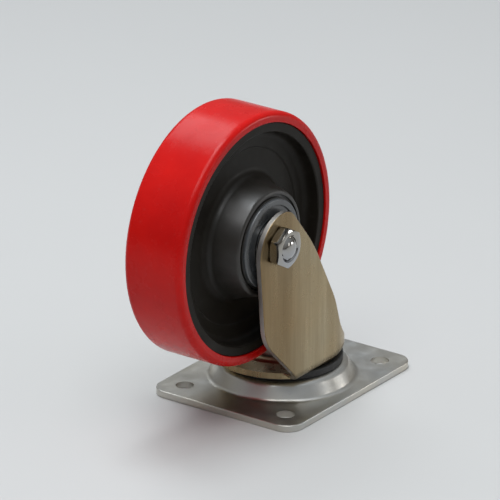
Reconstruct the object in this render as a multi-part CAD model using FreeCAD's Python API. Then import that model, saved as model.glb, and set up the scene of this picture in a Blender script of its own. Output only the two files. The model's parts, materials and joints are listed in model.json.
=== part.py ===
"""Swivel plate castor, standing on its mounting plate with the wheel up. Millimetres.

Frame: the origin is the centre of the plate's mounting face, on the swivel axis. +Z points from
the plate to the wheel, the axle lies along X, and the wheel trails the swivel axis towards -Y.
Pieces on the axle come in a right (+X) and a left (-X) copy.
"""
import FreeCAD, Part
import math
import os

# ---- driving dimensions -------------------------------------------------------------------
WHEEL_RADIUS = 62.5
TOTAL_HEIGHT = 155.0
TRAIL = 45.0                      # from the swivel axis to the axle
AXLE_HEIGHT = TOTAL_HEIGHT - WHEEL_RADIUS

TREAD_WIDTH = 33.0
TREAD_SHOULDER = 3.0
TREAD_BED_RADIUS = 54.0           # where the tread is bonded to the core
RIM_RADIUS = 57.3                 # outside of the core's two rim lips
RIM_WIDTH = 31.2                  # over the two rim lips
RIM_LIP = 3.0                     # thickness of a lip along the axle
HUB_WIDTH = 48.0
HUB_RADIUS = 25.8

PLATE_LENGTH = 105.0              # along Y
PLATE_WIDTH = 85.0                # along X
PLATE_THICKNESS = 3.5
PLATE_CORNER = 9.0
HOLE_SPACING_X = 60.0
HOLE_SPACING_Y = 80.0
HOLE_RADIUS = 4.5
DOME_TOP = 12.0                   # top of the pressed dome in the plate
DOME_RECESS = DOME_TOP - PLATE_THICKNESS

SHEET = 3.0                       # pressed sheet of the fork
FORK_HALF_WIDTH = 30.0            # outside of a leg, and outside radius of the rounded back
FORK_BEND = 6.0                   # outside radius of the bend between crown and walls
FORK_EDGE_ROUNDING = 0.4
LEG_INSIDE = FORK_HALF_WIDTH - SHEET

CLEARANCE = 0.03                  # between a ball and its grooves
GROOVE_DEPTH = 1.3
MAIN_RACE_RADIUS = 21.0
MAIN_BALL_RADIUS = 3.175
MAIN_BALL_COUNT = 20
SECOND_RACE_RADIUS = 14.5
SECOND_BALL_RADIUS = 2.5
SECOND_BALL_COUNT = 18
CROWN_BORE_RADIUS = 10.5
CROWN_NOSE_RADIUS = 36.0          # round front edge of the crown, between the legs
CUP_THICKNESS = 3.0

STUD_RADIUS = 5.95                # M12 kingpin and axle
STUD_HOLE_RADIUS = 6.05
HEX_ACROSS_FLATS = 18.0
HEX_HEAD_HEIGHT = 7.5

BEARING_BORE_RADIUS = 10.0
BEARING_RADIUS = 21.0
BEARING_WIDTH = 12.0
BEARING_PITCH_RADIUS = 15.5
BEARING_BALL_RADIUS = 3.175
BEARING_BALL_COUNT = 9
BEARING_FACE = HUB_WIDTH / 2 - 0.5
BEARING_MIDDLE = BEARING_FACE - BEARING_WIDTH / 2
INNER_RING_SHOULDER = 13.2
OUTER_RING_SHOULDER = 17.8

# ---- heights of the swivel head, from the plate up ----------------------------------------
MAIN_BALL_HEIGHT = DOME_TOP - GROOVE_DEPTH + MAIN_BALL_RADIUS + CLEARANCE
CROWN_BOTTOM = MAIN_BALL_HEIGHT + MAIN_BALL_RADIUS + CLEARANCE - GROOVE_DEPTH
CROWN_TOP = CROWN_BOTTOM + SHEET
SECOND_BALL_HEIGHT = CROWN_TOP - GROOVE_DEPTH + SECOND_BALL_RADIUS + CLEARANCE
CUP_BOTTOM = SECOND_BALL_HEIGHT + SECOND_BALL_RADIUS + CLEARANCE - GROOVE_DEPTH
CUP_TOP = CUP_BOTTOM + CUP_THICKNESS

ORIGIN = FreeCAD.Vector(0, 0, 0)
X_AXIS = FreeCAD.Vector(1, 0, 0)
Y_AXIS = FreeCAD.Vector(0, 1, 0)
Z_AXIS = FreeCAD.Vector(0, 0, 1)
AXLE_CENTRE = FreeCAD.Vector(0, -TRAIL, AXLE_HEIGHT)


# ---- shape helpers ------------------------------------------------------------------------
def in_xz(a, b):
    return FreeCAD.Vector(a, 0, b)


def in_xy(a, b):
    return FreeCAD.Vector(a, b, 0)


def in_yz(a, b):
    return FreeCAD.Vector(0, a, b)


def rounded_face(corners, place=in_xz):
    """Face inside the corners (a, b, rounding radius), each rounded by an arc tangent to its sides."""
    points = [place(a, b) for a, b, _ in corners]
    starts, ends, arcs = [], [], []
    for i, point in enumerate(points):
        radius = corners[i][2]
        if radius == 0:
            starts.append(point)
            ends.append(point)
            arcs.append(None)
            continue
        back = (points[i - 1] - point).normalize()
        ahead = (points[(i + 1) % len(points)] - point).normalize()
        half = back.getAngle(ahead) / 2
        inward = (back + ahead).normalize()
        start = point + back * (radius / math.tan(half))
        end = point + ahead * (radius / math.tan(half))
        middle = point + inward * (radius / math.sin(half) - radius)
        starts.append(start)
        ends.append(end)
        arcs.append(Part.Arc(start, middle, end).toShape())
    edges = []
    for i, arc in enumerate(arcs):
        if arc:
            edges.append(arc)
        following = starts[(i + 1) % len(points)]
        if ends[i].distanceToPoint(following) > 1e-6:
            edges.append(Part.LineSegment(ends[i], following).toShape())
    return Part.Face(Part.Wire(edges))


def turned(corners, axis=Z_AXIS):
    """Solid of revolution: corners are (radius, z, rounding) about Z, or (x, radius, rounding) about X."""
    return rounded_face(corners).revolve(ORIGIN, axis, 360)


def ring(inner, outer, low, high, rounding=0.0):
    """Ring about Z between two radii and two heights."""
    corners = [(inner, low), (outer, low), (outer, high), (inner, high)]
    return turned([(radius, z, rounding) for radius, z in corners])


def axle_ring(inner, outer, start, end, rounding=0.0):
    """Ring about X between two radii and two places along the axle."""
    corners = [(start, inner), (end, inner), (end, outer), (start, outer)]
    return turned([(x, radius, rounding) for x, radius in corners], X_AXIS)


def mirrored_profile(half):
    """A profile (x, radius, rounding) drawn for x > 0, closed with its mirror image at x < 0."""
    return half + [(-x, radius, rounding) for x, radius, rounding in reversed(half)]


def hexagon(across_flats, height):
    """Hexagonal block on z = 0 with both ends chamfered, as on a nut."""
    corner_radius = across_flats / math.sqrt(3)
    bevel = 0.09 * across_flats
    corners = [(corner_radius * math.cos(math.radians(60 * i)),
                corner_radius * math.sin(math.radians(60 * i)), 0) for i in range(6)]
    block = rounded_face(corners, in_xy).extrude(Z_AXIS * height)
    drop = bevel / 2
    barrel = turned([(0, 0, 0), (corner_radius - bevel, 0, 0), (corner_radius, drop, 0),
                     (corner_radius, height - drop, 0), (corner_radius - bevel, height, 0),
                     (0, height, 0)])
    return block.common(barrel)


def stud(length, chamfer=1.0):
    """Round M12 shank from z = 0 up, with a chamfered end."""
    return turned([(0, 0, 0), (STUD_RADIUS, 0, 0), (STUD_RADIUS, length - chamfer, 0),
                   (STUD_RADIUS - chamfer, length, 0), (0, length, 0)])


def drilled(shape, radius, length):
    return shape.cut(Part.makeCylinder(radius, length))


def balls(count, race_radius, ball_radius, height, axis=Z_AXIS):
    """A full circle of separate balls about the axis, at a height along it."""
    first = Part.makeSphere(ball_radius)
    if axis == Z_AXIS:
        first.translate(FreeCAD.Vector(race_radius, 0, height))
    else:
        first.translate(FreeCAD.Vector(height, 0, race_radius))
    circle = []
    for i in range(count):
        ball = first.copy()
        ball.rotate(ORIGIN, axis, 360.0 * i / count)
        circle.append(ball)
    return circle


def groove(race_radius, ball_radius, height, axis=Z_AXIS):
    """The round groove in which a circle of balls runs."""
    centre = axis * height
    return Part.makeTorus(race_radius, ball_radius + CLEARANCE, centre, axis)


# ---- mounting plate and kingpin -----------------------------------------------------------
def rounded_plate():
    x, y = PLATE_WIDTH / 2, PLATE_LENGTH / 2
    corners = [(x, y), (-x, y), (-x, -y), (x, -y)]
    outline = rounded_face([(a, b, PLATE_CORNER) for a, b in corners], in_xy)
    sheet = outline.extrude(Z_AXIS * PLATE_THICKNESS)
    edge_rounding = 0.5
    flat_edges = [edge for edge in sheet.Edges
                  if edge.BoundBox.ZLength < edge_rounding]
    return sheet.makeFillet(edge_rounding, flat_edges)


def mounting_plate():
    """Flat plate with four holes and a pressed dome that carries the main ball groove."""
    join_radius = 38.0
    foot, top, slope = 34.5, 31.3, 4.7
    dome = turned([(join_radius, 0, 0), (foot, 0, 3), (foot - slope, DOME_RECESS, 2),
                   (STUD_HOLE_RADIUS, DOME_RECESS, 0), (STUD_HOLE_RADIUS, DOME_TOP, 0),
                   (top, DOME_TOP, 4), (top + slope, PLATE_THICKNESS, 2.5),
                   (join_radius, PLATE_THICKNESS, 0)])
    plate = drilled(rounded_plate(), join_radius, PLATE_THICKNESS)
    for x in (-HOLE_SPACING_X / 2, HOLE_SPACING_X / 2):
        for y in (-HOLE_SPACING_Y / 2, HOLE_SPACING_Y / 2):
            hole = Part.makeCylinder(HOLE_RADIUS, PLATE_THICKNESS, FreeCAD.Vector(x, y, 0))
            plate = plate.cut(hole)
    pressed_back = Part.makeTorus(MAIN_RACE_RADIUS, MAIN_BALL_RADIUS + PLATE_THICKNESS,
                                  Z_AXIS * MAIN_BALL_HEIGHT, Z_AXIS)
    under_dome = ring(STUD_HOLE_RADIUS, foot - slope - 2, 0, DOME_RECESS)
    dome = dome.fuse(pressed_back.common(under_dome))
    dome = dome.cut(groove(MAIN_RACE_RADIUS, MAIN_BALL_RADIUS, MAIN_BALL_HEIGHT))
    return plate.fuse(dome).removeSplitter()


def kingpin_bolt():
    """Hex bolt up through the plate: its head sits in the recess under the dome."""
    head = hexagon(HEX_ACROSS_FLATS, HEX_HEAD_HEIGHT)
    head.translate(Z_AXIS * (DOME_RECESS - HEX_HEAD_HEIGHT))
    nut_height, thread_beyond_nut = 12.0, 1.5
    shank = stud(CUP_TOP + nut_height + thread_beyond_nut - DOME_RECESS)
    shank.translate(Z_AXIS * DOME_RECESS)
    return head.fuse(shank).removeSplitter()


def kingpin_spacer():
    return ring(STUD_HOLE_RADIUS, 9.0, DOME_TOP, CUP_BOTTOM)


def kingpin_nut():
    """Self-locking nut: a hexagon with a round collar that holds its locking ring."""
    hex_height, collar_height, collar_radius = 8.5, 12.0, 8.3
    collar = Part.makeCylinder(collar_radius, collar_height)
    collar = collar.makeFillet(1.5, [edge for edge in collar.Edges
                                     if edge.BoundBox.ZMin > collar_height - 0.1])
    nut = drilled(hexagon(HEX_ACROSS_FLATS, hex_height).fuse(collar), STUD_HOLE_RADIUS, collar_height)
    nut.translate(Z_AXIS * CUP_TOP)
    return nut.removeSplitter()


def retaining_cup():
    """Pressed cup over the second ball row, clamped on the kingpin spacer."""
    outer, lip, lip_drop = 18.3, 1.0, 1.6
    cup = turned([(STUD_HOLE_RADIUS, CUP_BOTTOM, 0), (outer - lip, CUP_BOTTOM, 0),
                  (outer - lip, CUP_BOTTOM - lip_drop, 0), (outer, CUP_BOTTOM - lip_drop, 0),
                  (outer, CUP_TOP, 1.5), (STUD_HOLE_RADIUS, CUP_TOP, 0)])
    return cup.cut(groove(SECOND_RACE_RADIUS, SECOND_BALL_RADIUS, SECOND_BALL_HEIGHT))


def swivel_seal():
    """Dust ring between the plate's dome and the fork's crown."""
    gap = 0.1
    return ring(26.2, 29.4, DOME_TOP, CROWN_BOTTOM - gap, 0.6)


# ---- fork ---------------------------------------------------------------------------------
def fork_channel():
    """U-shaped wall with a floor, seen from above: two straight sides and a round back."""
    front = -TRAIL - 25.0
    top = AXLE_HEIGHT + 25.0

    def block(half_width, bottom, bend):
        sides = [Part.LineSegment(in_xy(half_width, front), in_xy(half_width, 0)),
                 Part.Arc(in_xy(half_width, 0), in_xy(0, half_width), in_xy(-half_width, 0)),
                 Part.LineSegment(in_xy(-half_width, 0), in_xy(-half_width, front)),
                 Part.LineSegment(in_xy(-half_width, front), in_xy(half_width, front))]
        solid = Part.Face(Part.Wire([side.toShape() for side in sides])).extrude(Z_AXIS * (top - bottom))
        bent = [edge for edge in solid.Edges
                if edge.BoundBox.ZMax < 0.1 and edge.BoundBox.YMax > front + 0.1]
        solid = solid.makeFillet(bend, bent)
        solid.translate(Z_AXIS * bottom)
        return solid

    return block(FORK_HALF_WIDTH, CROWN_BOTTOM, FORK_BEND).cut(
        block(LEG_INSIDE, CROWN_TOP, FORK_BEND - SHEET))


def fork_side_outline():
    """Side view of the fork about the axle (y, z, rounding): rounded leg ends, swept-back legs."""
    bottom = CROWN_BOTTOM - AXLE_HEIGHT
    back = TRAIL + FORK_HALF_WIDTH + 1.0
    rim = bottom + FORK_BEND + 0.3
    corners = [(18, bottom, 0), (-11.6, -47, 24), (-17.4, 15.9, 19), (9.0, 15.9, 11),
               (28.5, -8.5, 90), (46, -41.5, 60), (56.5, rim, 24), (back, rim, 0), (back, bottom, 0)]
    return rounded_face(corners, in_yz)


def sharp_edges(shape, lowest):
    """The edges above a height at which two faces meet at an angle."""
    smooth_limit = math.radians(20)
    found = []
    for edge in shape.Edges:
        faces = shape.ancestorsOfType(edge, Part.Face)
        if edge.BoundBox.ZMin < lowest or len(faces) != 2:
            continue
        middle = edge.valueAt((edge.FirstParameter + edge.LastParameter) / 2)
        normals = [face.normalAt(*face.Surface.parameter(middle)) for face in faces]
        if normals[0].getAngle(normals[1]) > smooth_limit:
            found.append(edge)
    return found


def fork():
    """Pressed fork: crown with both ball grooves, wrapped back, and two legs to the axle."""
    outline = fork_side_outline()
    outline.translate(AXLE_CENTRE - X_AXIS * (FORK_HALF_WIDTH + 1))
    sides = outline.extrude(X_AXIS * 2 * (FORK_HALF_WIDTH + 1))
    nose = Part.makeCylinder(CROWN_NOSE_RADIUS, SHEET, Z_AXIS * CROWN_BOTTOM)
    body = fork_channel().common(sides.fuse(nose))
    body = body.fuse(pressed_race(MAIN_RACE_RADIUS, MAIN_BALL_RADIUS, MAIN_BALL_HEIGHT,
                                  CROWN_TOP, CROWN_TOP + 2 * GROOVE_DEPTH))
    body = body.fuse(pressed_race(SECOND_RACE_RADIUS, SECOND_BALL_RADIUS, SECOND_BALL_HEIGHT,
                                  CROWN_BOTTOM - 2 * GROOVE_DEPTH, CROWN_BOTTOM))
    body = drilled(body, CROWN_BORE_RADIUS, TOTAL_HEIGHT)
    body = body.cut(groove(MAIN_RACE_RADIUS, MAIN_BALL_RADIUS, MAIN_BALL_HEIGHT))
    body = body.cut(groove(SECOND_RACE_RADIUS, SECOND_BALL_RADIUS, SECOND_BALL_HEIGHT))
    axle_hole = Part.makeCylinder(STUD_HOLE_RADIUS, 4 * FORK_HALF_WIDTH,
                                  AXLE_CENTRE - X_AXIS * 2 * FORK_HALF_WIDTH, X_AXIS)
    body = body.cut(axle_hole).removeSplitter()
    return body.makeFillet(FORK_EDGE_ROUNDING, sharp_edges(body, CROWN_TOP + 0.5))


def pressed_race(race_radius, ball_radius, height, low, high):
    """The bulge that a pressed ball groove leaves on the other side of the sheet."""
    bulge = Part.makeTorus(race_radius, ball_radius + SHEET, Z_AXIS * height, Z_AXIS)
    return bulge.common(ring(CROWN_BORE_RADIUS, LEG_INSIDE, low, high))


# ---- axle pieces, drawn about the X axis and moved to the axle at the end -----------------
def on_x(shape, start, direction=1):
    """Turns a piece drawn up the Z axis so that it points along +X or -X from a start."""
    shape.rotate(ORIGIN, Y_AXIS, 90 * direction)
    shape.translate(X_AXIS * start)
    return shape


def axle_bolt():
    nut_height, thread_beyond_nut = 6.0, 1.5
    head = on_x(hexagon(HEX_ACROSS_FLATS, HEX_HEAD_HEIGHT), -FORK_HALF_WIDTH, -1)
    shank = on_x(stud(2 * FORK_HALF_WIDTH + nut_height + thread_beyond_nut), -FORK_HALF_WIDTH)
    return head.fuse(shank).removeSplitter()


def axle_nut():
    nut_height = 6.0
    nut = drilled(hexagon(HEX_ACROSS_FLATS, nut_height), STUD_HOLE_RADIUS, nut_height)
    return on_x(nut, FORK_HALF_WIDTH)


def axle_tube():
    return axle_ring(STUD_HOLE_RADIUS, BEARING_BORE_RADIUS, -LEG_INSIDE, LEG_INSIDE)


def spacer():
    return axle_ring(BEARING_BORE_RADIUS, 12.5, BEARING_FACE, LEG_INSIDE, 0.4)


def bearing_inner_ring():
    blank = axle_ring(BEARING_BORE_RADIUS, INNER_RING_SHOULDER,
                      BEARING_MIDDLE - BEARING_WIDTH / 2, BEARING_FACE, 0.4)
    return blank.cut(groove(BEARING_PITCH_RADIUS, BEARING_BALL_RADIUS, BEARING_MIDDLE, X_AXIS))


def bearing_outer_ring():
    blank = axle_ring(OUTER_RING_SHOULDER, BEARING_RADIUS,
                      BEARING_MIDDLE - BEARING_WIDTH / 2, BEARING_FACE, 0.4)
    return blank.cut(groove(BEARING_PITCH_RADIUS, BEARING_BALL_RADIUS, BEARING_MIDDLE, X_AXIS))


def bearing_balls():
    return Part.makeCompound(balls(BEARING_BALL_COUNT, BEARING_PITCH_RADIUS, BEARING_BALL_RADIUS,
                                   BEARING_MIDDLE, X_AXIS))


def bearing_cage():
    """Snap cage: a ring with a closed back and one open pocket for each ball."""
    back, front, pocket_gap = 4.4, 2.2, 0.1
    cage = axle_ring(14.6, 16.4, BEARING_MIDDLE - back, BEARING_MIDDLE + front)
    for pocket in balls(BEARING_BALL_COUNT, BEARING_PITCH_RADIUS, BEARING_BALL_RADIUS + pocket_gap,
                        BEARING_MIDDLE, X_AXIS):
        cage = cage.cut(pocket)
    return cage


def bearing_seals():
    """Two rubber discs, held by the outer ring and just clear of the inner ring."""
    thickness, inset, lip_gap = 1.0, 0.6, 0.05
    seals = []
    for offset in (-1, 1):
        middle = BEARING_MIDDLE + offset * (BEARING_WIDTH / 2 - inset - thickness / 2)
        seals.append(axle_ring(INNER_RING_SHOULDER + lip_gap, OUTER_RING_SHOULDER,
                               middle - thickness / 2, middle + thickness / 2))
    return Part.makeCompound(seals)


def dust_cap():
    """Cap over the bearing: a raised rim on the hub face and a recessed disc round the spacer."""
    face = HUB_WIDTH / 2
    proud, disc = 1.5, 0.6
    return turned([(BEARING_FACE, 12.9, 0), (face + disc, 12.9, 0), (face + disc, 18.9, 0.3),
                   (face + proud, 18.9, 0.4), (face + proud, 21.9, 0.6), (face, 21.9, 0),
                   (face, BEARING_RADIUS, 0), (BEARING_FACE, BEARING_RADIUS, 0)], X_AXIS)


def wheel_core():
    """Moulded core: hub, dished web and rim with a lip each side of the tread."""
    seat = BEARING_FACE - BEARING_WIDTH
    face, rim = HUB_WIDTH / 2, RIM_WIDTH / 2
    half = [(seat, 17.5, 0), (seat, BEARING_RADIUS, 0), (face, BEARING_RADIUS, 0),
            (face, 22.5, 0.2), (face - 1.4, 22.5, 0.3), (face - 1.4, 23.8, 0.3), (face, 23.8, 0.3),
            (face, HUB_RADIUS, 1.5), (8.0, 30.4, 5.0), (7.4, 43.2, 0.5), (8.1, 44.0, 0.5),
            (8.8, 51.2, 4.2), (rim, 52.6, 0.7), (rim, RIM_RADIUS, 0.5),
            (rim - RIM_LIP, RIM_RADIUS, 0), (rim - RIM_LIP, TREAD_BED_RADIUS, 0)]
    return turned(mirrored_profile(half), X_AXIS)


def tread():
    """Cast tread: it fills the bed between the rim lips, overhangs them and has round shoulders."""
    side, rim = TREAD_WIDTH / 2, RIM_WIDTH / 2
    half = [(rim - RIM_LIP, TREAD_BED_RADIUS, 0), (rim - RIM_LIP, RIM_RADIUS, 0),
            (side, RIM_RADIUS, 0.3), (side, WHEEL_RADIUS, TREAD_SHOULDER)]
    return turned(mirrored_profile(half), X_AXIS)


# ---- assembly -----------------------------------------------------------------------------
SWIVEL_HEAD = {
    "mounting_plate": mounting_plate, "kingpin_bolt": kingpin_bolt, "kingpin_spacer": kingpin_spacer,
    "kingpin_nut": kingpin_nut, "retaining_cup": retaining_cup, "swivel_seal": swivel_seal,
    "fork": fork,
}
AXLE_CENTRED = {
    "axle_bolt": axle_bolt, "axle_nut": axle_nut, "axle_tube": axle_tube,
    "wheel_core": wheel_core, "tread": tread,
}
AXLE_PAIRS = {
    "spacer": spacer, "bearing_inner_ring": bearing_inner_ring,
    "bearing_outer_ring": bearing_outer_ring, "bearing_balls": bearing_balls,
    "bearing_cage": bearing_cage, "bearing_seals": bearing_seals, "dust_cap": dust_cap,
}


def all_nodes():
    nodes = {name: make() for name, make in SWIVEL_HEAD.items()}
    nodes["main_race_balls"] = Part.makeCompound(
        balls(MAIN_BALL_COUNT, MAIN_RACE_RADIUS, MAIN_BALL_RADIUS, MAIN_BALL_HEIGHT))
    nodes["second_race_balls"] = Part.makeCompound(
        balls(SECOND_BALL_COUNT, SECOND_RACE_RADIUS, SECOND_BALL_RADIUS, SECOND_BALL_HEIGHT))
    axle_nodes = {name: make() for name, make in AXLE_CENTRED.items()}
    for name, make in AXLE_PAIRS.items():
        right = make()
        axle_nodes[name + "_right"] = right
        axle_nodes[name + "_left"] = right.mirror(ORIGIN, X_AXIS)
    for name, shape in axle_nodes.items():
        shape.translate(AXLE_CENTRE)
        nodes[name] = shape
    return nodes


os.makedirs("parts", exist_ok=True)
for node, solid in sorted(all_nodes().items()):
    solid.exportStep("parts/" + node + ".step")
    print(node, "solids", len(solid.Solids), "volume", round(solid.Volume), "valid", solid.isValid())
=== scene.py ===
"""Looks of the swivel plate castor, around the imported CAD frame: metres, in the CAD's axes."""
import json
import math

import bmesh
import bpy
from mathutils import Matrix, Vector


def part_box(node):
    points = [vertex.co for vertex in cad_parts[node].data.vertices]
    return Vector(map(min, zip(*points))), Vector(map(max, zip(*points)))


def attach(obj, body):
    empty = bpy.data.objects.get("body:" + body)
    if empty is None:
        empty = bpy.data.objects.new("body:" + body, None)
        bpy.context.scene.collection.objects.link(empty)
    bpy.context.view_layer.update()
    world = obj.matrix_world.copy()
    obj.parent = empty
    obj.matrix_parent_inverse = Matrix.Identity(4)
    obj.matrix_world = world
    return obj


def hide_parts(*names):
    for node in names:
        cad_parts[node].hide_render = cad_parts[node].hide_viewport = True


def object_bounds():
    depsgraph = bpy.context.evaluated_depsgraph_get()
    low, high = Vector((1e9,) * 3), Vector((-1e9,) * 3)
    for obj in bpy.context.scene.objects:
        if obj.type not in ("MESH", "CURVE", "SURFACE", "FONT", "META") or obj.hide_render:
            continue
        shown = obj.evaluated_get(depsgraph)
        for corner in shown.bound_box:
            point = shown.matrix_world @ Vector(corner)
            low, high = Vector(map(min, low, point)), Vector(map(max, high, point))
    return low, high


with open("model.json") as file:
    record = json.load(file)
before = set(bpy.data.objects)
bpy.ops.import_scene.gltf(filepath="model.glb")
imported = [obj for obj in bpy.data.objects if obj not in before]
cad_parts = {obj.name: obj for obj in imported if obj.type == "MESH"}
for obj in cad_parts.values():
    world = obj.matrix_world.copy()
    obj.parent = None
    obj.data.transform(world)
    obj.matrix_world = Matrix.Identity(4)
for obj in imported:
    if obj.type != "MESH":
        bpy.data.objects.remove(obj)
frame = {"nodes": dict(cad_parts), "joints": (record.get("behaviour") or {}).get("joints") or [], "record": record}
cad_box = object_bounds()

MM = 0.001
joints = {joint["name"]: joint for joint in frame["joints"]}
AXLE = Vector(joints["wheel_spin"]["pos_m"])
SLOTS = {part["node"]: part["material_slot"] for part in frame["record"]["subparts"]}

# Sizes shared with the CAD, in millimetres
ACROSS_FLATS = 18.0
STUD_RADIUS = 5.95
BORE_RADIUS = 6.05
FORK_OUTSIDE = 30.0
SHEET = 3.0
BEND_TOP = 22.5
HUB_EDGE = 30.0
DOME_RECESS = 8.5
AXLE_NUT_HEIGHT = 6.0
HEAD_HEIGHT = 7.5
BEYOND_NUT = 1.5
LOCKNUT_HEX_HEIGHT = 8.5
LOCKNUT_HEIGHT = 12.0

# Sizes of what only the detailed fasteners have, in millimetres
THREAD_PITCH = 1.75
THREAD_DEPTH = 1.05
AXLE_THREAD = 12.0
KINGPIN_THREAD = 14.0
CHAMFER_START = 0.94 * ACROSS_FLATS / 2
CHAMFER_SLOPE = math.tan(math.radians(30))
COUNTERSINK = 0.7


# ---- shader helpers -----------------------------------------------------------------------
def node(tree, kind, inputs=None, **settings):
    """Adds a shader node; an input is given a value, or another node's output to link."""
    made = tree.nodes.new(kind)
    for key, value in settings.items():
        setattr(made, key, value)
    for key, value in (inputs or {}).items():
        if isinstance(value, bpy.types.NodeSocket):
            tree.links.new(value, made.inputs[key])
        else:
            made.inputs[key].default_value = value
    return made


def calc(tree, operation, first, second=0.0, third=0.0):
    values = {0: first, 1: second, 2: third}
    return node(tree, "ShaderNodeMath", values, operation=operation).outputs[0]


def noise(tree, vector, scale, detail=4.0, roughness=0.55):
    inputs = {"Vector": vector, "Scale": scale, "Detail": detail, "Roughness": roughness}
    return node(tree, "ShaderNodeTexNoise", inputs).outputs["Fac"]


def spread(tree, value, low, high, from_low=0.3, from_high=0.7):
    """Maps a value, by default a noise's usual range, to low..high, clamped."""
    inputs = {"Value": value, "From Min": from_low, "From Max": from_high,
              "To Min": low, "To Max": high}
    return node(tree, "ShaderNodeMapRange", inputs).outputs["Result"]


def stretched(tree, vector, scale):
    return node(tree, "ShaderNodeMapping", {"Vector": vector, "Scale": scale}).outputs[0]


def mix_color(tree, factor, first, second, blend="MIX"):
    # a Mix node's colour sockets share their names with its others, so they go by number
    return node(tree, "ShaderNodeMix", {0: factor, 6: first, 7: second}, data_type="RGBA",
                blend_type=blend).outputs[2]


def bump(tree, height, distance, strength=1.0, normal=None):
    inputs = {"Height": height, "Distance": distance, "Strength": strength}
    if normal:
        inputs["Normal"] = normal
    return node(tree, "ShaderNodeBump", inputs).outputs["Normal"]


def start_material(name):
    """A material with its node tree, its Principled node and its object coordinates."""
    material = bpy.data.materials.new(name)
    material.use_nodes = True
    tree = material.node_tree
    shader = tree.nodes["Principled BSDF"]
    place = node(tree, "ShaderNodeTexCoord").outputs["Object"]
    return material, tree, shader, place


def connect(tree, shader, **inputs):
    """Sets or links inputs of the Principled node; underscores stand for spaces."""
    for key, value in inputs.items():
        socket = shader.inputs[key.replace("_", " ")]
        if isinstance(value, bpy.types.NodeSocket):
            tree.links.new(value, socket)
        else:
            socket.default_value = value


def rgb(red, green, blue):
    return (red, green, blue, 1.0)


def length(tree, vector):
    return node(tree, "ShaderNodeVectorMath", {0: vector}, operation="LENGTH").outputs["Value"]


def about_axle(tree, place):
    """The vector (distance along the axle, radius about it, 0), for rings round the axle."""
    local = node(tree, "ShaderNodeVectorMath", {0: place, 1: AXLE}, operation="SUBTRACT")
    split = node(tree, "ShaderNodeSeparateXYZ", {0: local.outputs[0]})
    flat = node(tree, "ShaderNodeCombineXYZ", {"Y": split.outputs["Y"], "Z": split.outputs["Z"]})
    radius = length(tree, flat.outputs[0])
    return node(tree, "ShaderNodeCombineXYZ", {"X": split.outputs["X"], "Y": radius}).outputs[0]


# ---- materials ----------------------------------------------------------------------------
def red_tread_material():
    """Glossy cast polyurethane: slight mottling, faint turning rings, scuffs and a little dust."""
    material, tree, shader, place = start_material("red_tread")
    rings = about_axle(tree, place)
    mottle = spread(tree, noise(tree, place, 35.0), 0, 1)
    color = mix_color(tree, mottle, rgb(0.47, 0.0035, 0.003), rgb(0.57, 0.006, 0.004))
    dust = spread(tree, noise(tree, place, 420.0, 6.0, 0.7), 0.0, 0.05, 0.60, 0.75)
    color = mix_color(tree, dust, color, rgb(0.75, 0.45, 0.40))
    roughness = spread(tree, noise(tree, place, 90.0, 6.0), 0.20, 0.32)
    normal = bump(tree, noise(tree, rings, 1800.0, 2.0), 0.02 * MM, 0.35)
    normal = bump(tree, noise(tree, place, 700.0, 2.0), 0.05 * MM, 0.30, normal)
    connect(tree, shader, Base_Color=color, Roughness=roughness, Normal=normal,
            Specular_IOR_Level=0.18, Subsurface_Weight=0.04,
            Subsurface_Radius=(1.0, 0.08, 0.05), Subsurface_Scale=2.0 * MM)
    return material


def moulded_material(name, dark, light, rough_low, rough_high, gloss=0.5, hub_gloss=None):
    """Moulded plastic: fine grain, faint flow rings about the axle, scuffs. With a hub_gloss, the
    hub, up to the radius HUB_EDGE, has a gloss of its own."""
    material, tree, shader, place = start_material(name)
    rings = about_axle(tree, place)
    mottle = spread(tree, noise(tree, place, 60.0, 5.0), 0, 1)
    color = mix_color(tree, mottle, rgb(*dark), rgb(*light))
    scuff = spread(tree, noise(tree, place, 240.0, 8.0, 0.7), 0.0, 0.16, 0.58, 0.74)
    pale = tuple(min(1.0, 2.2 * c + 0.03) for c in light)
    color = mix_color(tree, scuff, color, rgb(*pale))
    roughness = spread(tree, noise(tree, place, 130.0, 6.0), rough_low, rough_high)
    normal = bump(tree, noise(tree, place, 2600.0, 2.0), 0.03 * MM, 0.5)
    normal = bump(tree, noise(tree, rings, 500.0, 2.0), 0.03 * MM, 0.3, normal)
    if hub_gloss:
        radius = node(tree, "ShaderNodeSeparateXYZ", {0: rings}).outputs["Y"]
        gloss = spread(tree, radius, hub_gloss, gloss, (HUB_EDGE - 1) * MM, (HUB_EDGE + 1) * MM)
    connect(tree, shader, Base_Color=color, Roughness=roughness, Normal=normal,
            Specular_IOR_Level=gloss)
    return material


def zinc_nodes(tree, place, warm, cool, rough_low, rough_high):
    """Zinc plating on steel: cloudy tint, small dull spots, smears. Gives colour, roughness."""
    cloud = spread(tree, noise(tree, place, 28.0, 4.0), 0, 1, 0.35, 0.65)
    color = mix_color(tree, cloud, rgb(*warm), rgb(*cool))
    spots = spread(tree, noise(tree, place, 650.0, 5.0, 0.65), 0.0, 0.30, 0.60, 0.72)
    color = mix_color(tree, spots, color, rgb(0.36, 0.34, 0.31))
    smear = noise(tree, place, 110.0, 8.0, 0.65)
    roughness = spread(tree, smear, rough_low, rough_high, 0.35, 0.65)
    return color, calc(tree, "ADD", roughness, calc(tree, "MULTIPLY", spots, 0.3))


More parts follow.
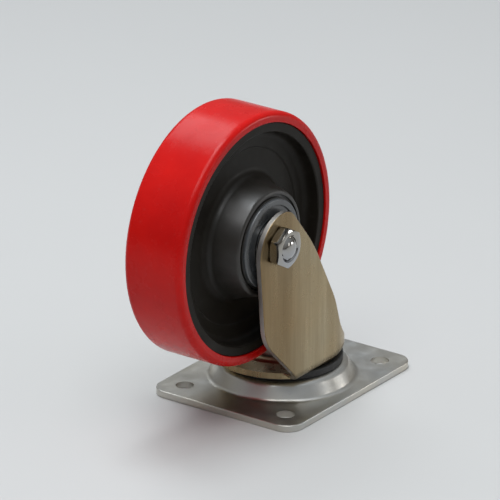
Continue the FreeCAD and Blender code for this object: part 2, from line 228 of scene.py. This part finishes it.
def zinc_material(name, warm, cool, rough_low, rough_high, grain_depth=0.012):
    """Plated steel with a fine rolled grain and a slightly uneven surface."""
    material, tree, shader, place = start_material(name)
    color, roughness = zinc_nodes(tree, place, warm, cool, rough_low, rough_high)
    grain = noise(tree, stretched(tree, place, (1.0, 0.12, 1.0)), 2600.0, 3.0)
    normal = bump(tree, grain, grain_depth * MM, 0.6)
    normal = bump(tree, noise(tree, place, 160.0, 3.0), 0.10 * MM, 0.25, normal)
    connect(tree, shader, Base_Color=color, Roughness=roughness, Normal=normal, Metallic=1.0)
    return material


def fork_material():
    """Pressed sheet with a yellowish plating, its warm brown partly painted reflection of warm timber: fine
    streaks and broad bands up the legs, painted shade on the front half, and duller sheared edges with fine tear
    lines."""
    material, tree, shader, place = start_material("zinc_fork")
    # the warm brown of the plating, streaks and bands is partly a yellowish plating, partly painted reflection of
    # warm timber
    color, roughness = zinc_nodes(tree, place, (0.455, 0.355, 0.21), (0.445, 0.38, 0.255),
                                  0.24, 0.36)
    streaks = noise(tree, stretched(tree, place, (1.0, 1.0, 0.05)), 330.0, 5.0, 0.6)
    color = mix_color(tree, spread(tree, streaks, 0.0, 0.55), color, rgb(0.27, 0.21, 0.125))
    bands = noise(tree, stretched(tree, place, (1.0, 1.0, 0.06)), 62.0, 2.0)
    banded = spread(tree, bands, 0.0, 0.5, 0.40, 0.62)
    color = mix_color(tree, banded, color, rgb(0.26, 0.19, 0.10))
    roughness = calc(tree, "ADD", roughness, spread(tree, streaks, -0.05, 0.07))

    # painted shade: the colour is darkened on the front half of the legs, with a ragged border
    split = node(tree, "ShaderNodeSeparateXYZ", {0: place})
    border = calc(tree, "ADD", split.outputs["Y"], spread(tree, bands, -5 * MM, 5 * MM))
    painted_front_shade = spread(tree, border, 1.0, 0.0, -38 * MM, -22 * MM)
    color = mix_color(tree, painted_front_shade, color, rgb(0.68, 0.61, 0.52), "MULTIPLY")

    # Distance from the swivel axis behind it, and from the mid plane in front of it. The sheet's
    # two faces lie at two such distances, so a point well between them is on a sheared edge.
    behind = calc(tree, "MAXIMUM", split.outputs["Y"], 0.0)
    flat = node(tree, "ShaderNodeCombineXYZ", {"X": split.outputs["X"], "Y": behind}).outputs[0]
    mid_sheet = (FORK_OUTSIDE - SHEET / 2) * MM
    edge_rounding = 0.35
    within = (SHEET / 2 - edge_rounding) * MM
    sheared = calc(tree, "COMPARE", length(tree, flat), mid_sheet, within)
    above_bend = calc(tree, "GREATER_THAN", split.outputs["Z"], BEND_TOP * MM)
    sheared = calc(tree, "MULTIPLY", sheared, above_bend)
    tears = noise(tree, stretched(tree, place, (0.04, 1.0, 1.0)), 1500.0, 4.0)
    color = mix_color(tree, calc(tree, "MULTIPLY", sheared, 0.6), color, rgb(0.56, 0.56, 0.57))
    roughness = calc(tree, "ADD", roughness, calc(tree, "MULTIPLY", sheared, 0.12))

    grain = noise(tree, stretched(tree, place, (1.0, 1.0, 0.08)), 2400.0, 3.0)
    normal = bump(tree, grain, 0.012 * MM, 0.6)
    normal = bump(tree, noise(tree, place, 150.0, 3.0), 0.10 * MM, 0.25, normal)
    normal = bump(tree, calc(tree, "MULTIPLY", tears, sheared), 0.05 * MM, 0.5, normal)
    connect(tree, shader, Base_Color=color, Roughness=roughness, Normal=normal, Metallic=1.0)
    return material


def bearing_steel_material():
    """Ground steel with fine rings and an oil film."""
    material, tree, shader, place = start_material("bearing_steel")
    rings = about_axle(tree, place)
    roughness = spread(tree, noise(tree, place, 300.0, 4.0), 0.12, 0.24)
    normal = bump(tree, noise(tree, rings, 6000.0, 2.0), 0.004 * MM, 0.5)
    color = mix_color(tree, noise(tree, place, 150.0), rgb(0.56, 0.56, 0.57), rgb(0.64, 0.63, 0.61))
    connect(tree, shader, Base_Color=color, Roughness=roughness, Normal=normal, Metallic=1.0)
    return material


def seal_material():
    """Matte black moulded rubber with a dusty bloom."""
    material, tree, shader, place = start_material("black_seal")
    bloom = spread(tree, noise(tree, place, 380.0, 6.0, 0.7), 0, 1, 0.45, 0.75)
    color = mix_color(tree, bloom, rgb(0.016, 0.016, 0.016), rgb(0.05, 0.048, 0.045))
    normal = bump(tree, noise(tree, place, 3000.0, 2.0), 0.02 * MM, 0.5)
    roughness = spread(tree, bloom, 0.55, 0.75, 0, 1)
    connect(tree, shader, Base_Color=color, Roughness=roughness, Normal=normal)
    return material


def floor_material():
    material, tree, shader, place = start_material("studio_floor")
    clouds = noise(tree, place, 3.0)
    color = mix_color(tree, clouds, rgb(0.525, 0.52, 0.51), rgb(0.555, 0.55, 0.54))
    normal = bump(tree, noise(tree, place, 600.0, 3.0), 0.05 * MM, 0.2)
    connect(tree, shader, Base_Color=color, Roughness=0.7, Normal=normal, Specular_IOR_Level=0.2)
    return material


MATERIALS = {
    "red_tread": red_tread_material(),
    "grey_core": moulded_material("grey_core", (0.013, 0.0105, 0.008), (0.019, 0.0165, 0.013),
                                  0.34, 0.46, gloss=0.10, hub_gloss=0.62),
    "grey_cap": moulded_material("grey_cap", (0.042, 0.045, 0.048), (0.060, 0.064, 0.068),
                                 0.24, 0.34, gloss=0.90),
    "zinc_fork": fork_material(),
    "zinc_plate": zinc_material("zinc_plate", (0.60, 0.56, 0.48), (0.55, 0.55, 0.53),
                                0.28, 0.42),
    "zinc_fastener": zinc_material("zinc_fastener", (0.40, 0.36, 0.29), (0.39, 0.41, 0.45),
                                   0.07, 0.15, grain_depth=0.004),
    "bearing_steel": bearing_steel_material(),
    "cage_plastic": moulded_material("cage_plastic", (0.60, 0.56, 0.44), (0.68, 0.64, 0.52),
                                     0.40, 0.50),
    "black_seal": seal_material(),
}


# ---- geometry helpers ---------------------------------------------------------------------
def spun(name, loop_at, angles, place):
    """Closed surface round a local Z axis: loop_at(angle) gives its (radius, height) in mm."""
    mesh = bpy.data.meshes.new(name)
    made = bmesh.new()
    rows = []
    for angle in angles:
        cos, sin = math.cos(angle), math.sin(angle)
        points = [Vector((radius * cos, radius * sin, height)) for radius, height in loop_at(angle)]
        rows.append([made.verts.new(place @ point * MM) for point in points])
    for index, row in enumerate(rows):
        following = rows[(index + 1) % len(rows)]
        for k in range(len(row)):
            after = (k + 1) % len(row)
            made.faces.new((row[k], following[k], following[after], row[after]))
    bmesh.ops.remove_doubles(made, verts=made.verts, dist=0.0005 * MM)
    bmesh.ops.recalc_face_normals(made, faces=made.faces)
    made.to_mesh(mesh)
    made.free()
    mesh.shade_smooth()
    mesh.set_sharp_from_angle(angle=math.radians(32))
    piece = bpy.data.objects.new(name, mesh)
    bpy.context.scene.collection.objects.link(piece)
    return piece


def hex_angles():
    """Angles round a hexagon with corners at 0, 60...: close together at the rounded corners."""
    offsets = [0.0, 0.7, 1.4, 6, 12, 18, 24, 30, 36, 42, 48, 54, 58.6, 59.3]
    return [math.radians(60 * side + offset) for side in range(6) for offset in offsets]


def hex_radius(angle):
    """Distance to the side of the hexagon at an angle, its corners slightly rounded."""
    from_corner = (angle + math.pi / 6) % (math.pi / 3) - math.pi / 6
    from_flat = math.pi / 6 - abs(from_corner)
    rounded_corner = ACROSS_FLATS / 2 / math.cos(math.radians(28.6))
    return min(ACROSS_FLATS / 2 / math.cos(from_flat), rounded_corner)


def chamfer_drop(angle):
    return (hex_radius(angle) - CHAMFER_START) * CHAMFER_SLOPE


def nut_loop(height, collar_height=None, collar_radius=8.3):
    """Section of a nut: a countersunk bore and, on a locking nut, a round collar on top."""
    mouth = BORE_RADIUS + COUNTERSINK
    shoulder = collar_radius + 0.3
    curl = 1.5
    insert_radius, insert_depth = 6.35, 0.6

    def loop_at(angle):
        radius, drop = hex_radius(angle), chamfer_drop(angle)
        loop = [(BORE_RADIUS, COUNTERSINK), (mouth, 0), (CHAMFER_START, 0), (radius, drop)]
        if collar_height is None:
            return loop + [(radius, height - drop), (CHAMFER_START, height), (mouth, height),
                           (BORE_RADIUS, height - COUNTERSINK)]
        loop += [(radius, height - (radius - shoulder) * CHAMFER_SLOPE), (shoulder, height),
                 (collar_radius, height + 0.3)]
        for turn in (math.radians(15 * step) for step in range(7)):
            loop.append((collar_radius - curl + curl * math.cos(turn),
                         collar_height - curl + curl * math.sin(turn)))
        return loop + [(6.5, collar_height), (insert_radius, collar_height - 0.25),
                       (insert_radius, collar_height - insert_depth),
                       (BORE_RADIUS, collar_height - insert_depth)]
    return loop_at


def thread_radius(angle, height, run_out, end):
    """Radius of an M12 thread that fades in over one pitch from run_out and ends in a chamfer."""
    root_share, flank_share, end_chamfer = 0.12, 0.72, 1.0
    phase = (height / THREAD_PITCH - angle / (2 * math.pi)) % 1.0
    flank = min(1.0, max(0.0, (abs(2 * phase - 1) - root_share) / flank_share))
    fade = min(1.0, max(0.0, (height - run_out) / THREAD_PITCH))
    threaded = STUD_RADIUS - THREAD_DEPTH * fade * (1 - flank)
    return min(threaded, STUD_RADIUS - end_chamfer + (end - height))


# The bolt's domed end: radius, and how far below the tip
DOME_HEIGHT = 1.5
DOME_PROFILE = ((4.4, 1.0), (3.7, 0.66), (3.0, 0.41), (2.2, 0.21), (1.2, 0.06), (0, 0))


def bolt_loop(shank_length, thread_length):
    """Section of a bolt standing on its head: z from 0 at the face of the head, then the shank, the
    thread and a domed end. The thread's length counts the end in."""
    steps_per_pitch = 12
    end = HEAD_HEIGHT + shank_length
    thread_length -= DOME_HEIGHT
    thread_end = end - DOME_HEIGHT
    run_out = thread_end - thread_length
    steps = int(thread_length / THREAD_PITCH * steps_per_pitch)

    def loop_at(angle):
        radius, drop = hex_radius(angle), chamfer_drop(angle)
        loop = [(0, 0), (CHAMFER_START, 0), (radius, drop), (radius, HEAD_HEIGHT),
                (STUD_RADIUS, HEAD_HEIGHT), (STUD_RADIUS, run_out)]
        for step in range(1, steps + 1):
            height = run_out + thread_length * step / steps
            loop.append((thread_radius(angle, height, run_out, thread_end), height))
        return loop + [(reach, end - below) for reach, below in DOME_PROFILE]
    return loop_at


def along_axle(start):
    """Places a piece drawn up the Z axis (mm) on the axle, pointing to +X from a start."""
    turn = Matrix.Rotation(math.radians(90), 4, "Y")
    return Matrix.Translation(AXLE / MM + Vector((start, 0, 0))) @ turn


def add_fastener(plain, loop_at, place, body):
    """A detailed hexagon fastener that stands for a plain one from the CAD."""
    piece = spun(plain + "_detailed", loop_at, hex_angles(), place)
    piece.data.materials.append(MATERIALS[SLOTS[plain]])
    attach(piece, body)
    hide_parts(plain)


# ---- fasteners with real chamfers and threads ---------------------------------------------
axle_length = 2 * FORK_OUTSIDE + AXLE_NUT_HEIGHT + BEYOND_NUT
add_fastener("axle_bolt", bolt_loop(axle_length, AXLE_THREAD),
             along_axle(-FORK_OUTSIDE - HEAD_HEIGHT), "fork_body")
add_fastener("axle_nut", nut_loop(AXLE_NUT_HEIGHT), along_axle(FORK_OUTSIDE), "fork_body")

kingpin_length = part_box("kingpin_bolt")[1].z / MM - DOME_RECESS
add_fastener("kingpin_bolt", bolt_loop(kingpin_length, KINGPIN_THREAD),
             Matrix.Translation((0, 0, DOME_RECESS - HEAD_HEIGHT)), "head")
nut_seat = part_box("kingpin_nut")[0].z / MM
add_fastener("kingpin_nut", nut_loop(LOCKNUT_HEX_HEIGHT, LOCKNUT_HEIGHT),
             Matrix.Translation((0, 0, nut_seat)), "head")

for name, shown in frame["nodes"].items():
    shown.data.materials.clear()
    shown.data.materials.append(MATERIALS[SLOTS[name]])


# ---- studio -------------------------------------------------------------------------------
MIDDLE = (Vector(cad_box[0]) + Vector(cad_box[1])) / 2


def add_floor():
    bpy.ops.mesh.primitive_plane_add(size=6.0, location=(0, 0, cad_box[0][2]))
    floor = bpy.context.object
    floor.name = "studio_floor"
    floor.data.materials.append(floor_material())


def add_softbox(name, direction, distance, width, height, power, color=(1.0, 1.0, 1.0)):
    """A rectangular area light in a direction from the middle of the object, facing it."""
    light = bpy.data.lights.new(name, "AREA")
    light.shape = "RECTANGLE"
    light.size = width
    light.size_y = height
    light.energy = power
    light.color = color
    lamp = bpy.data.objects.new(name, light)
    toward = Vector(direction).normalized()
    lamp.location = MIDDLE + toward * distance
    lamp.rotation_euler = (-toward).to_track_quat("-Z", "Y").to_euler()
    bpy.context.scene.collection.objects.link(lamp)


def add_world():
    """A soft dome: dim and slightly warm at the horizon, brighter and cooler overhead."""
    world = bpy.data.worlds.new("studio")
    world.use_nodes = True
    tree = world.node_tree
    direction = node(tree, "ShaderNodeTexCoord").outputs["Generated"]
    height = node(tree, "ShaderNodeSeparateXYZ", {0: direction}).outputs["Z"]
    lift = spread(tree, height, 0.0, 1.0, 0.0, 1.0)
    color = mix_color(tree, lift, rgb(0.13, 0.12, 0.11), rgb(0.52, 0.56, 0.60))
    tree.links.new(color, tree.nodes["Background"].inputs["Color"])
    bpy.context.scene.world = world


def add_camera():
    """A long lens from where the object is seen in use: to the right, in front and above."""
    from_axle = Vector((1.613, -2.239, 1.129))
    camera = bpy.data.cameras.new("camera")
    camera.lens = 450.0
    camera.clip_end = 50.0
    eye = bpy.data.objects.new("camera", camera)
    eye.location = AXLE + from_axle
    eye.rotation_euler = (MIDDLE - eye.location).to_track_quat("-Z", "Y").to_euler()
    bpy.context.scene.collection.objects.link(eye)
    bpy.context.scene.camera = eye


add_floor()
# name, direction, distance, width, height (m), power (W), colour
add_softbox("key_softbox", (0.15, -0.35, 0.92), 1.3, 0.9, 0.9, 9.0, (0.98, 0.99, 1.0))
add_softbox("top_softbox", (-0.10, 0.06, 0.99), 1.2, 0.42, 0.42, 6.5, (0.90, 0.96, 1.0))
add_softbox("back_softbox", (-0.53, 0.31, 0.79), 1.5, 0.65, 0.65, 4.6, (0.92, 0.96, 1.0))
add_softbox("side_strip", (0.90, 0.35, 0.26), 1.4, 0.22, 0.6, 0.8)
add_softbox("glint_card", (0.66, 0.755, 0.05), 1.2, 0.24, 0.18, 1.1)
add_world()
add_camera()
bpy.context.scene.view_settings.view_transform = "Standard"
